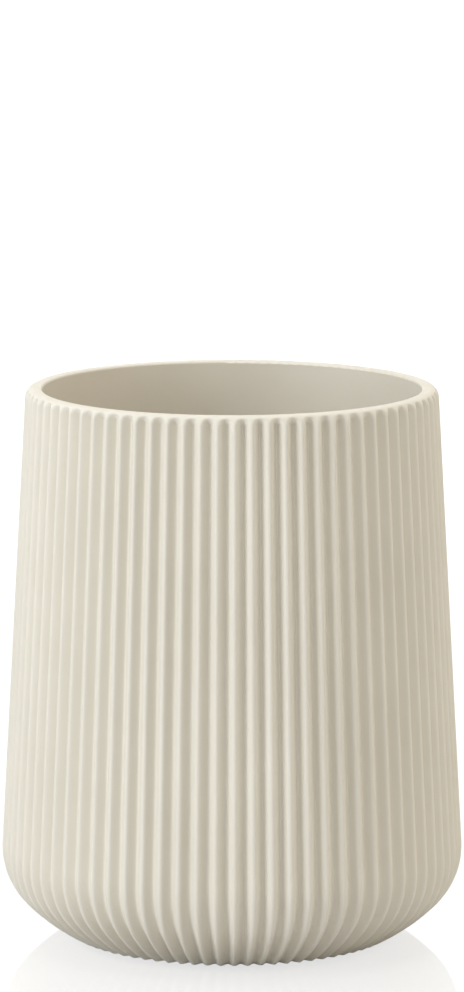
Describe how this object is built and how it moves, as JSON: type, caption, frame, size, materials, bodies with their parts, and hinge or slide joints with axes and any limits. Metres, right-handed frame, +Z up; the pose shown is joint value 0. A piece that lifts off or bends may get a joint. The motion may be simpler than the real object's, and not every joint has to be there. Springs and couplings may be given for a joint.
{
  "type": "toothbrush holder",
  "caption": "Round fluted tumbler with a smooth open inside, a rounded lip and a tucked-in base on rubber feet; holds toothbrushes upright on a washstand or shelf.",
  "frame": {"origin": "on the surface that the feet stand on, under the middle of the cup", "axes": "+Z up along the cup's axis, out of its mouth; +X and +Y run midway between neighbouring feet"},
  "size_m": [0.0904, 0.0904, 0.108],
  "materials": {
    "resin": "matte",
    "rubber": "matte",
    "adhesive": "satin"
  },
  "bodies": {
    "root": {"cup_body": "resin", "rubber_foot_1": "rubber", "rubber_foot_2": "rubber", "rubber_foot_3": "rubber", "rubber_foot_4": "rubber", "adhesive_pad_1": "adhesive", "adhesive_pad_2": "adhesive", "adhesive_pad_3": "adhesive", "adhesive_pad_4": "adhesive"}
  },
  "joints": []
}
